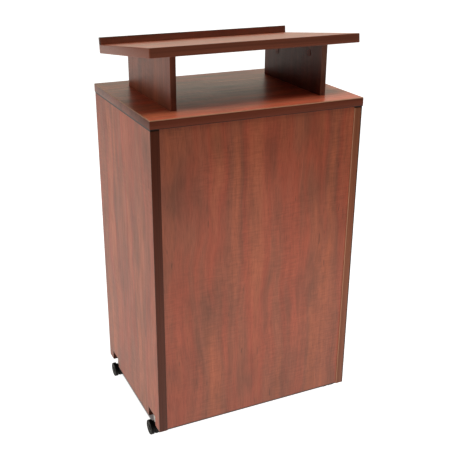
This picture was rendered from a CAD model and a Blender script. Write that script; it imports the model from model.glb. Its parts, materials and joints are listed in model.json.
"""Looks of the mobile lectern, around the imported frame.

Camera and studio, laminate boards with their rounded edge bands, moulded casters and plated hardware.
"""

import json
import math

import bmesh
import bpy
from mathutils import Matrix, Vector
from mathutils.bvhtree import BVHTree


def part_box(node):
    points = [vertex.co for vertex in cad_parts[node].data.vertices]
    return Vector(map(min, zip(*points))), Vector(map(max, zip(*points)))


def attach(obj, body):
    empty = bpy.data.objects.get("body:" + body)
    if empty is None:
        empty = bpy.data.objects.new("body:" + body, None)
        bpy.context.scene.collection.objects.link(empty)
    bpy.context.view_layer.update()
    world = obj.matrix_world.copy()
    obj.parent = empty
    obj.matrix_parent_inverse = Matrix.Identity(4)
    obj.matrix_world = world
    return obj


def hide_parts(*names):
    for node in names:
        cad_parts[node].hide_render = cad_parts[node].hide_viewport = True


MM = 0.001

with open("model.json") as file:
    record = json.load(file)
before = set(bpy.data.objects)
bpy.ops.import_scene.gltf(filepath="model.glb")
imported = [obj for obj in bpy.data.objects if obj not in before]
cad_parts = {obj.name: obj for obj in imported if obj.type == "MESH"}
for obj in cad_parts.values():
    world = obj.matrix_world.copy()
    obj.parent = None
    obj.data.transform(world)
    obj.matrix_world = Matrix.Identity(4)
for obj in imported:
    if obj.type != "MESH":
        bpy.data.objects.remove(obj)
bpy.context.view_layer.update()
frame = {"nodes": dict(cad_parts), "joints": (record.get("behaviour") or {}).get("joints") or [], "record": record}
nodes = frame["nodes"]
BODY_OF = {n: body for body, members in frame["record"]["behaviour"]["bodies"].items() for n in members}
SLOT_OF = {row["node"]: row["material_slot"] for row in frame["record"]["subparts"]}
CASTERS = ["front_left", "front_right", "rear_left", "rear_right"]


# ---- camera ----

def make_camera(place, yaw, pitch, roll, lens):
    """A camera at place that looks along +Y turned by yaw towards +X, tipped down by pitch."""
    yaw, pitch, roll = (math.radians(a) for a in (yaw, pitch, roll))
    ahead = Vector((math.sin(yaw) * math.cos(pitch), math.cos(yaw) * math.cos(pitch), -math.sin(pitch)))
    right = Vector((math.cos(yaw), -math.sin(yaw), 0))
    up = right.cross(ahead)
    tipped_right = right * math.cos(roll) - up * math.sin(roll)
    tipped_up = up * math.cos(roll) + right * math.sin(roll)
    data = bpy.data.cameras.new("camera")
    data.lens = lens
    data.sensor_width = 36
    camera = bpy.data.objects.new("camera", data)
    turn = Matrix((tipped_right, tipped_up, -ahead)).transposed().to_4x4()
    camera.matrix_world = Matrix.Translation(Vector(place)) @ turn
    bpy.context.scene.collection.objects.link(camera)
    bpy.context.scene.camera = camera


make_camera(place=(-0.9187, -1.9576, 1.4381), yaw=25.24, pitch=22.35, roll=-0.31, lens=62.60)


# ---- shader nodes ----

class Tree:
    """Short forms for adding and linking shader nodes."""

    def __init__(self, node_tree):
        self.tree = node_tree

    def link(self, output, socket):
        self.tree.links.new(output, socket)

    def feed(self, socket, value):
        """Links the socket when value is another node's output, and sets it when value is plain."""
        if isinstance(value, bpy.types.NodeSocket):
            self.link(value, socket)
        else:
            socket.default_value = (*value, 1) if socket.type == "RGBA" else value

    def add(self, kind, **inputs):
        """A node of this kind, with its inputs given by name."""
        node = self.tree.nodes.new(kind)
        for name, value in inputs.items():
            self.feed(node.inputs[name], value)
        return node

    def noise(self, vector, scale, detail=3.0, roughness=0.5):
        """Noise whose scale may differ per axis, in repeats per metre."""
        mapped = self.add("ShaderNodeMapping", Vector=vector, Scale=scale).outputs["Vector"]
        node = self.add("ShaderNodeTexNoise", Vector=mapped, Scale=1.0, Detail=detail, Roughness=roughness)
        return node.outputs["Fac"]

    def warp(self, vector, scale, reach):
        """The vector pushed about by slow noise, by up to half of reach (metres) each way."""
        mapped = self.add("ShaderNodeMapping", Vector=vector, Scale=scale).outputs["Vector"]
        noise = self.add("ShaderNodeTexNoise", Vector=mapped, Scale=1.0, Detail=2.0).outputs["Color"]
        push = self.add("ShaderNodeVectorMath")
        push.operation = "MULTIPLY_ADD"
        self.link(noise, push.inputs[0])
        push.inputs[1].default_value = reach
        self.link(vector, push.inputs[2])
        return push.outputs["Vector"]

    def ramp(self, fac, *stops):
        """Colour ramp from (position, value or colour) stops."""
        node = self.add("ShaderNodeValToRGB", Fac=fac)
        elements = node.color_ramp.elements
        while len(elements) < len(stops):
            elements.new(0.5)
        for element, (position, tone) in zip(elements, stops):
            element.position = position
            element.color = (*tone, 1) if isinstance(tone, tuple) else (tone, tone, tone, 1)
        return node.outputs["Color"]

    def mix(self, fac, a, b, blend="MIX"):
        """The colour a where fac is 0 and b, blended over it, where it is 1."""
        node = self.tree.nodes.new("ShaderNodeMix")
        node.data_type = "RGBA"
        node.blend_type = blend
        for socket, value in ((node.inputs[0], fac), (node.inputs[6], a), (node.inputs[7], b)):
            self.feed(socket, value)
        return node.outputs[2]

    def choose(self, fac, a, b):
        """The number a where fac is 0 and b where it is 1."""
        node = self.tree.nodes.new("ShaderNodeMix")
        for socket, value in ((node.inputs[0], fac), (node.inputs[2], a), (node.inputs[3], b)):
            self.feed(socket, value)
        return node.outputs[0]

    def math(self, operation, a, b):
        """The operation on two numbers. One that needs a single number ignores b."""
        node = self.tree.nodes.new("ShaderNodeMath")
        node.operation = operation
        self.feed(node.inputs[0], a)
        self.feed(node.inputs[1], b)
        return node.outputs[0]

    def smooth(self, value, start, end, low, high):
        """Smooth step from low at start to high at end."""
        node = self.add("ShaderNodeMapRange", Value=value)
        node.interpolation_type = "SMOOTHSTEP"
        for socket, number in (("From Min", start), ("From Max", end), ("To Min", low), ("To Max", high)):
            node.inputs[socket].default_value = number
        return node.outputs["Result"]

    def seam_lines(self, color, place, seams):
        """Lines along a board's sides. A seam is (axis, where it starts, where it is full, its colour)."""
        axes = self.add("ShaderNodeSeparateXYZ", Vector=place)
        for axis, start, full, tone in seams:
            color = self.mix(self.smooth(axes.outputs[axis], start, full, 0.0, 1.0), color, tone)
        return color

    def bump(self, height, distance, strength=1.0):
        """A normal raised by height, whose full range stands distance metres high."""
        node = self.add("ShaderNodeBump", Height=height, Distance=distance, Strength=strength)
        return node.outputs["Normal"]


def new_material(name):
    """A material with its tree, its shader and the piece's own coordinates in metres."""
    material = bpy.data.materials.new(name)
    material.use_nodes = True
    tree = Tree(material.node_tree)
    shader = material.node_tree.nodes["Principled BSDF"]
    place = tree.add("ShaderNodeTexCoord").outputs["Object"]
    return material, tree, shader, place


# ---- studio ----

WHITE = (1.0, 1.0, 1.0)
WARM_WHITE = (1.0, 0.94, 0.87)
WARM_WALL = (0.96, 0.98, 0.82)
BACKDROP_SIDE = Vector((0.5, 0.8, 0.28))
# The shade that the cabinet throws on the floor, in metres, and how much glow is left in it
SHADE_HALF_WIDTH = 0.282
SHADE_HALF_DEPTH = 0.2
SHADE_MIDDLE = 0.04
SHADE_EDGE = 0.005
SHADE_LEVEL = 0.08


def area_light(name, place, target, size, watts):
    """A soft rectangle of light at place that faces target. It lights the object and never shows itself."""
    data = bpy.data.lights.new(name, "AREA")
    data.shape = "RECTANGLE"
    data.size, data.size_y = size
    data.energy = watts
    light = bpy.data.objects.new(name, data)
    light.location = place
    light.rotation_euler = (Vector(target) - Vector(place)).to_track_quat("-Z", "Y").to_euler()
    light.visible_camera = False
    light.visible_glossy = False
    bpy.context.scene.collection.objects.link(light)


def studio_world(horizon, overhead, backdrop):
    """White surroundings: dim at eye level, bright overhead, with a lit backdrop behind and to the right.

    The camera itself sees them plain white.
    """
    world = bpy.data.worlds.new("studio")
    world.use_nodes = True
    bpy.context.scene.world = world
    tree = Tree(world.node_tree)
    background = world.node_tree.nodes["Background"]
    direction = tree.add("ShaderNodeTexCoord").outputs["Generated"]
    height = tree.add("ShaderNodeSeparateXYZ", Vector=direction).outputs["Z"]
    soft = tree.smooth(height, 0.15, 0.75, horizon, overhead)
    toward = world.node_tree.nodes.new("ShaderNodeVectorMath")
    toward.operation = "DOT_PRODUCT"
    tree.link(direction, toward.inputs[0])
    toward.inputs[1].default_value = BACKDROP_SIDE.normalized()
    lit = tree.smooth(toward.outputs["Value"], 0.78, 0.93, 0.0, backdrop)
    seen = tree.add("ShaderNodeLightPath").outputs["Is Camera Ray"]
    tree.link(tree.choose(seen, tree.math("ADD", soft, lit), 1.0), background.inputs["Strength"])
    tree.link(tree.mix(seen, WARM_WALL, WHITE), background.inputs["Color"])


def make_floor(around, ahead, far, albedo):
    """A lit white table. The object is lit by it, less so from in front, and the camera sees it white.

    around is the glow beside the cabinet, ahead the glow a little in front of it and far what is left beyond.
    Under the cabinet the glow sinks to a faint shade.
    """
    half = 30.0
    corners = [(-half, -half, 0), (half, -half, 0), (half, half, 0), (-half, half, 0)]
    mesh = bpy.data.meshes.new("floor")
    mesh.from_pydata(corners, [], [(0, 1, 2, 3)])
    floor = bpy.data.objects.new("floor", mesh)
    bpy.context.scene.collection.objects.link(floor)
    material, tree, shader, place = new_material("floor_white")
    tone = tree.ramp(tree.noise(place, (3, 3, 3)), (0.3, albedo), (0.7, albedo + 0.03))
    tree.link(tone, shader.inputs["Base Color"])
    axes = tree.add("ShaderNodeSeparateXYZ", Vector=place)
    along = axes.outputs["Y"]
    beside = tree.math("SUBTRACT", tree.math("ABSOLUTE", axes.outputs["X"], 0), SHADE_HALF_WIDTH)
    from_middle = tree.math("SUBTRACT", along, SHADE_MIDDLE)
    before = tree.math("SUBTRACT", tree.math("ABSOLUTE", from_middle, 0), SHADE_HALF_DEPTH)
    outside = tree.math("MAXIMUM", beside, before)
    lit = tree.smooth(outside, 0.0, SHADE_EDGE, SHADE_LEVEL, 1.0)
    nearby = tree.smooth(along, -0.8, -0.6, ahead - far, around - far)
    front = tree.smooth(along, -1.5, -1.0, 0.0, 1.0)
    glow = tree.math("ADD", tree.math("MULTIPLY", nearby, front), far)
    seen = tree.add("ShaderNodeLightPath").outputs["Is Camera Ray"]
    tree.link(tree.mix(seen, WARM_WHITE, WHITE), shader.inputs["Emission Color"])
    tree.link(tree.math("MULTIPLY", lit, tree.choose(seen, glow, around)), shader.inputs["Emission Strength"])
    shader.inputs["Roughness"].default_value = 0.6
    shader.inputs["Specular IOR Level"].default_value = 0.2
    mesh.materials.append(material)


studio_world(horizon=0.09, overhead=0.17, backdrop=0.88)
area_light("high_key", place=(0.25, -0.75, 3.3), target=(0, -0.1, 0.9), size=(1.0, 1.0), watts=46)
area_light("left_soft", place=(-2.6, 0.1, 1.3), target=(-0.3, 0, 0.5), size=(0.7, 1.2), watts=12)
area_light("front_strip", place=(0.05, -0.75, 0.47), target=(0, -0.23, 0.47), size=(0.7, 0.3), watts=1.85)
area_light("rear_soft", place=(1.2, 2.3, 1.9), target=(0, 0.1, 0.95), size=(1.5, 1.2), watts=20)
make_floor(around=1.05, ahead=1.3, far=0.02, albedo=0.3)


# ---- materials ----

# Colours of the cherry print, then the tones of open joints, eased edges and a band's end
RED = (0.360, 0.075, 0.037)
BROWN = (0.300, 0.083, 0.043)
ORANGE = (0.394, 0.102, 0.047)
SMOKE = (0.66, 0.74, 0.76)
FLECK = (0.09, 0.030, 0.018)
CORE = (0.020, 0.007, 0.004)
EASED = (0.40, 0.20, 0.12)
END_TONE = (0.23, 0.064, 0.035)


def laminate(name, along, offset, shade, gloss, seams):
    """Printed cherry laminate. along is the grain's axis, and offset picks another stretch of the print.

    shade darkens or lightens the print, gloss is the shine of its coat, and seams are its dark joint lines.
    """
    material, tree, shader, place = new_material(name)
    turn = {"x": (0, math.radians(90), 0), "z": (0, 0, 0)}[along]
    grain = tree.add("ShaderNodeMapping", Vector=place, Rotation=turn, Location=offset).outputs["Vector"]
    figure = tree.warp(grain, (5, 5, 3.2), (0.06, 0.06, 0.0))
    bands = tree.noise(figure, (17, 17, 1.3), detail=2.0, roughness=0.45)
    color = tree.ramp(bands, (0.30, ORANGE), (0.44, RED), (0.56, BROWN), (0.70, ORANGE))
    clouds = tree.noise(figure, (15, 15, 6), detail=3.0, roughness=0.55)
    smoked = tree.mix(1.0, color, SMOKE, "MULTIPLY")
    color = tree.mix(tree.ramp(clouds, (0.44, 0.0), (0.74, 0.9)), color, smoked)
    streaks = tree.noise(figure, (60, 60, 2.2), detail=2.0)
    color = tree.mix(1.0, color, tree.ramp(streaks, (0.34, 0.93 * shade), (0.66, 1.09 * shade)), "MULTIPLY")
    fibres = tree.noise(figure, (190, 190, 4), detail=4.0, roughness=0.6)
    color = tree.mix(1.0, color, tree.ramp(fibres, (0.32, 0.90), (0.68, 1.10)), "MULTIPLY")
    patches = tree.noise(grain, (8, 8, 5), detail=1.0)
    waves = tree.noise(grain, (30, 30, 210), detail=2.0)
    wavy = tree.ramp(waves, (0.36, 0.88), (0.64, 1.05))
    shimmer = tree.mix(tree.ramp(patches, (0.38, 0.0), (0.58, 1.0)), WHITE, wavy)
    color = tree.mix(1.0, color, shimmer, "MULTIPLY")
    pores = tree.noise(grain, (900, 900, 35), detail=2.0)
    color = tree.mix(0.55, color, tree.ramp(pores, (0.36, 0.6), (0.48, 1.0)), "MULTIPLY")
    flecks = tree.noise(grain, (130, 130, 17), detail=1.0)
    color = tree.mix(tree.ramp(flecks, (0.755, 0.0), (0.80, 0.7)), color, FLECK)
    color = tree.seam_lines(color, place, seams)
    tree.link(color, shader.inputs["Base Color"])
    tree.link(tree.ramp(fibres, (0.3, 0.40), (0.7, 0.32)), shader.inputs["Roughness"])
    peel = tree.noise(place, (700, 700, 700), detail=2.0)
    height = tree.math("ADD", tree.math("MULTIPLY", pores, 0.5), peel)
    tree.link(tree.bump(height, 0.00006), shader.inputs["Normal"])
    shader.inputs["IOR"].default_value = 1.5
    shader.inputs["Specular IOR Level"].default_value = gloss
    return material


def edge_band(name, along, tone, seams):
    """Edge band with a faint printed grain along its length, about one middle tone."""
    material, tree, shader, place = new_material(name)
    scale = {"x": (2, 260, 260), "z": (260, 260, 2)}[along]
    lines = tree.noise(place, scale, detail=3.0, roughness=0.6)
    patches = tree.noise(place, tuple(s / 12 for s in scale), detail=2.0)
    dark, light = (tuple(c * k for c in tone) for k in (0.75, 1.3))
    color = tree.ramp(patches, (0.35, dark), (0.65, light))
    color = tree.mix(0.5, color, tree.ramp(lines, (0.32, 0.55), (0.6, 1.1)), "MULTIPLY")
    color = tree.seam_lines(color, place, seams)
    tree.link(color, shader.inputs["Base Color"])
    tree.link(tree.ramp(lines, (0.3, 0.42), (0.7, 0.34)), shader.inputs["Roughness"])
    tree.link(tree.bump(lines, 0.00005), shader.inputs["Normal"])
    shader.inputs["Specular IOR Level"].default_value = 0.185
    return material


def nylon(name, tone, rough):
    """Moulded nylon with a fine spark texture and slight scuffing."""
    material, tree, shader, place = new_material(name)
    scuffs = tree.noise(place, (220, 220, 220), detail=4.0, roughness=0.65)
    grain = tree.noise(place, (2600, 2600, 2600), detail=1.0)
    color = tree.ramp(scuffs, (0.35, tone), (0.75, tuple(3.0 * c for c in tone)))
    tree.link(color, shader.inputs["Base Color"])
    tree.link(tree.ramp(scuffs, (0.3, rough - 0.07), (0.7, rough + 0.1)), shader.inputs["Roughness"])
    tree.link(tree.bump(grain, 0.00003), shader.inputs["Normal"])
    shader.inputs["Specular IOR Level"].default_value = 0.15
    return material


def metal(name, tone, rough, turned=1.0):
    """Plated metal: mottled brightness and uneven polish. turned is the strength of its fine tool marks."""
    material, tree, shader, place = new_material(name)
    mottle = tree.noise(place, (160, 160, 160), detail=4.0, roughness=0.6)
    marks = tree.noise(place, (300, 300, 3000), detail=2.0)
    color = tree.ramp(mottle, (0.3, tuple(0.82 * c for c in tone)), (0.7, tone))
    tree.link(color, shader.inputs["Base Color"])
    tree.link(tree.ramp(mottle, (0.3, rough - 0.06), (0.7, rough + 0.08)), shader.inputs["Roughness"])
    tree.link(tree.bump(marks, 0.00002, turned), shader.inputs["Normal"])
    shader.inputs["Metallic"].default_value = 1.0
    return material


def raw_beech(name):
    """Bare wood of the dowels."""
    material, tree, shader, place = new_material(name)
    fibres = tree.noise(place, (600, 600, 60), detail=3.0)
    color = tree.ramp(fibres, (0.3, (0.50, 0.31, 0.16)), (0.7, (0.68, 0.47, 0.27)))
    tree.link(color, shader.inputs["Base Color"])
    tree.link(tree.ramp(fibres, (0.3, 0.65), (0.7, 0.8)), shader.inputs["Roughness"])
    tree.link(tree.bump(fibres, 0.0001), shader.inputs["Normal"])
    return material


# Each board's grain axis, its stretch of the print, its shade and its gloss
BOARD_GRAIN = {
    "left_side_panel": ("z", (0.0, 0.0, 0.0), 1.13, 0.13),
    "right_side_panel": ("z", (2.3, 1.1, 5.0), 1.0, 0.16),
    "front_panel": ("z", (4.7, 0.4, 2.0), 0.88, 0.42),
    "cabinet_top": ("x", (1.3, 3.1, 0.7), 1.38, 0.2),
    "bottom_panel": ("x", (5.2, 2.2, 1.9), 1.0, 0.2),
    "adjustable_shelf": ("x", (3.4, 6.1, 4.3), 1.0, 0.2),
    "left_upright": ("z", (7.1, 0.9, 3.3), 0.66, 0.2),
    "right_upright": ("z", (8.2, 4.4, 6.6), 0.42, 0.16),
    "reading_top": ("x", (2.9, 5.3, 8.1), 1.1, 0.17),
    "paper_lip": ("x", (6.3, 7.7, 2.2), 0.44, 0.5),
}
# The looks of the hardware, by slot
SLOT_MATERIAL = {
    "zinc_steel": metal("zinc_steel", (0.44, 0.42, 0.40), 0.30),
    "cast_zinc": metal("cast_zinc", (0.47, 0.47, 0.48), 0.42, turned=0.4),
    "insert_brass": metal("insert_brass", (0.66, 0.49, 0.20), 0.3),
    "beech": raw_beech("beech"),
    "caster_nylon": nylon("caster_nylon", (0.0022, 0.0022, 0.0024), 0.5),
}
COVER_BROWN = nylon("cover_brown", (0.13, 0.040, 0.022), 0.45)


def paint(obj, material):
    """Gives the object this one material."""
    obj.data.materials.clear()
    obj.data.materials.append(material)


for node, obj in nodes.items():
    if SLOT_OF[node] in SLOT_MATERIAL:
        paint(obj, SLOT_MATERIAL[SLOT_OF[node]])
paint(nodes["upright_cam_covers"], COVER_BROWN)


# ---- refined pieces ----

def add_piece(name, bm, node, material):
    """Turns bm into a piece that stands for a CAD node, and moves with it."""
    mesh = bpy.data.meshes.new(name)
    bm.to_mesh(mesh)
    bm.free()
    piece = bpy.data.objects.new(name, mesh)
    bpy.context.scene.collection.objects.link(piece)
    paint(piece, material)
    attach(piece, BODY_OF[node])
    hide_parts(node)


def mark_sharp(bm, degrees):
    """Smooth shading, but for the edges where the faces turn by this angle or more."""
    limit = math.radians(degrees)
    for face in bm.faces:
        face.smooth = True
    for edge in bm.edges:
        edge.smooth = len(edge.link_faces) == 2 and edge.calc_face_angle(0.0) < limit


SAME_POINT = 0.001 * MM
TOUCHING = 0.02 * MM
FLAT = math.radians(0.5)
CORNER = math.radians(25)


def merged_copy(node):
    """The CAD node's mesh with its split corners joined and its flat faces whole."""
    bm = bmesh.new()
    bm.from_mesh(nodes[node].data)
    bmesh.ops.remove_doubles(bm, verts=bm.verts, dist=SAME_POINT)
    bmesh.ops.dissolve_limit(bm, angle_limit=FLAT, verts=bm.verts, edges=bm.edges, delimit={"NORMAL"})
    return bm


def surface_of(node):
    """The CAD node's surface, for finding the nearest point on it."""
    mesh = nodes[node].data
    return BVHTree.FromPolygons([v.co for v in mesh.vertices], [p.vertices[:] for p in mesh.polygons])


def touches(edge, surfaces):
    """Whether the edge's middle, or a point near either end, lies on one of the surfaces."""
    start, end = (v.co for v in edge.verts)
    samples = [start.lerp(end, t) for t in (0.1, 0.5, 0.9)]
    return any(surface.find_nearest(p)[3] < TOUCHING for surface in surfaces for p in samples)


def round_off(node, radius, material, against=(), segments=3):
    """Copies a CAD node with its open edges rounded. Edges that touch the nodes in against stay tight."""
    bm = merged_copy(node)
    surfaces = [surface_of(n) for n in against]
    corners = [e for e in bm.edges if len(e.link_faces) == 2 and e.calc_face_angle(0.0) >= CORNER]
    chosen = [e for e in corners if not touches(e, surfaces)]
    bmesh.ops.bevel(bm, geom=chosen, offset=radius, offset_type="OFFSET", segments=segments, profile=0.5,
                    affect="EDGES", clamp_overlap=True)
    mark_sharp(bm, 50)
    add_piece(node + "_rounded", bm, node, material)


# Tones of the edge bands
DARK = (0.073, 0.018, 0.009)
MID = (0.17, 0.046, 0.024)
DEEP = (0.18, 0.060, 0.036)
WARM = (0.28, 0.092, 0.046)
PALE = (0.24, 0.115, 0.078)
SLAB_EDGE = (0.157, 0.037, 0.019)
DESK_EDGE = (0.166, 0.048, 0.027)
# Each set of bands: the radius of its edges in mm, the boards it sits on, its length's axis and its tone
BANDS = {
    "cabinet_top_edge_bands": (1.6, ["cabinet_top"], "x", SLAB_EDGE),
    "reading_top_edge_bands": (1.6, ["reading_top"], "x", DESK_EDGE),
    "left_side_edge_bands": (1.4, ["left_side_panel"], "z", DARK),
    "right_side_edge_bands": (1.4, ["right_side_panel"], "z", WARM),
    "left_upright_edge_bands": (0.7, ["left_upright"], "z", DEEP),
    "right_upright_edge_bands": (0.7, ["right_upright"], "z", PALE),
    "front_panel_edge_band": (0.8, ["front_panel"], "x", DARK),
    "bottom_panel_edge_band": (0.7, ["bottom_panel"], "x", MID),
    "shelf_edge_band": (0.7, ["adjustable_shelf"], "x", MID),
    "paper_lip_edge_bands": (0.7, ["paper_lip"], "x", DARK),
}
SEAM_BLUR = 0.5 * MM
# The lines on each node: the axis that they cut, the end where they lie, their width in mm and their tone
SEAMS = {
    "cabinet_top_edge_bands": [("Z", 1, 1.6, EASED), ("Z", -1), ("X", 1, 2.0, DARK)],
    "left_side_edge_bands": [("Z", 1, 3.0)],
    "right_side_edge_bands": [("X", -1, 1.3, EASED), ("X", 1, 3.0), ("Z", 1, 3.0)],
    "left_side_panel": [("Z", 1, 3.2)],
    "right_side_panel": [("Z", 1, 3.2)],
    "front_panel": [("Z", -1, 1.5)],
    "reading_top_edge_bands": [("X", -1, 2.0, END_TONE)],
    "paper_lip_edge_bands": [("Z", 1)],
    "front_panel_edge_band": [("Z", -1)],
}


def seam(node, axis, end, width=2.0, tone=CORE):
    """A line along one side of a node's box: end is 1 for the box's high end and -1 for its low end."""
    low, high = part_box(node)
    edge = getattr(high if end > 0 else low, axis.lower())
    full = edge - end * width * MM
    return axis, full - end * SEAM_BLUR, full, tone


def seams_of(node):
    """Every line that SEAMS gives the node."""
    return [seam(node, *line) for line in SEAMS.get(node, [])]


for board, (along, offset, shade, gloss) in BOARD_GRAIN.items():
    paint(nodes[board], laminate("laminate_" + board, along, offset, shade, gloss, seams_of(board)))
for node, (radius, boards, along, tone) in BANDS.items():
    round_off(node, radius * MM, edge_band(node + "_print", along, tone, seams_of(node)), against=boards)


def lathe(profile, centre, way):
    """Mesh spun about a line through centre along X, from (distance, radius) points.

    way is 1 where the distances run towards +X, and -1 where they run towards -X.
    """
    turns = 72
    bm = bmesh.new()
    rings = []
    for along, radius in profile:
        ring = []
        for k in range(turns if radius > 0 else 1):
            a = 2 * math.pi * k / turns
            offset = Vector((way * along, radius * math.cos(a), radius * math.sin(a)))
            ring.append(bm.verts.new(Vector(centre) + offset))
        rings.append(ring)
    for one, two in zip(rings, rings[1:]):
        for k in range(turns):
            corners = [one[k % len(one)], one[(k + 1) % len(one)], two[(k + 1) % len(two)], two[k % len(two)]]
            unique = list(dict.fromkeys(corners))
            if len(unique) > 2:
                bm.faces.new(unique)
    bmesh.ops.recalc_face_normals(bm, faces=bm.faces)
    return bm


def arc(centre, radius, start, end):
    """Points of a round corner: centre and radius in the profile's plane, angles in degrees."""
    steps = 5
    points = []
    for k in range(steps + 1):
        a = math.radians(start + (end - start) * k / steps)
        points.append((centre[0] + radius * math.cos(a), centre[1] + radius * math.sin(a)))
    return points


def wheel_profile(width, radius):
    """Section of a wheel: bored hub, hollow inner side, grooved tread, and the cap in its outer face.

    Points are (distance from the inner face, distance from the axle) in metres.
    """
    bore = 3.1 * MM
    bore_end = width - 3.0 * MM
    hub = 7.0 * MM
    hollow = bore_end - 0.6 * MM
    inner_round = 1.3 * MM
    outer_round = 1.7 * MM
    shoulder = width - 1.4 * MM
    lip = shoulder + 0.2 * MM
    cap = 8.5 * MM
    groove_top = 0.5 * MM
    groove_floor = 0.2 * MM
    groove_depth = 0.5 * MM
    profile = [(bore_end, 0), (bore_end, bore), (0.4 * MM, bore), (0, bore + 0.4 * MM)]
    profile += [(0, hub), (hollow, hub + 0.6 * MM), (hollow, radius - 4.5 * MM)]
    profile += [(0.8 * MM, radius - 4.0 * MM), (0, radius - 3.4 * MM)]
    profile += arc((inner_round, radius - inner_round), inner_round, 180, 90)
    for middle in (0.30 * width, 0.55 * width):
        profile += [(middle - groove_top, radius), (middle - groove_floor, radius - groove_depth)]
        profile += [(middle + groove_floor, radius - groove_depth), (middle + groove_top, radius)]
    profile += arc((shoulder - outer_round, radius - outer_round), outer_round, 90, 20)
    profile += [(lip, radius - 3.5 * MM), (lip, radius - 5.2 * MM), (shoulder - 1.0 * MM, radius - 5.8 * MM)]
    profile += [(width - 1.8 * MM, cap), (width - 0.4 * MM, cap - 0.7 * MM)]
    profile += [(width - 0.2 * MM, cap - 1.5 * MM), (width - 0.1 * MM, 4.0 * MM), (width - 0.05 * MM, 0)]
    return profile


def make_wheel(caster, node):
    """One moulded wheel, with its hollow side towards the caster's web and its cap outwards."""
    low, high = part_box(node)
    middle = (low + high) / 2
    swivel = next(j for j in frame["joints"] if j["child"] == BODY_OF[caster + "_caster_axle"])
    way = 1 if middle.x > swivel["pos_m"][0] else -1
    inner_face = low.x if way > 0 else high.x
    profile = wheel_profile(high.x - low.x, (high.z - low.z) / 2)
    bm = lathe(profile, (inner_face, middle.y, middle.z), way)
    mark_sharp(bm, 35)
    add_piece(node + "_moulded", bm, node, SLOT_MATERIAL["caster_nylon"])


for caster in CASTERS:
    make_wheel(caster, caster + "_outer_wheel")
    make_wheel(caster, caster + "_inner_wheel")
    round_off(caster + "_caster_housing", 0.4 * MM, SLOT_MATERIAL["caster_nylon"], segments=2)

bpy.context.scene.view_settings.view_transform = "Standard"
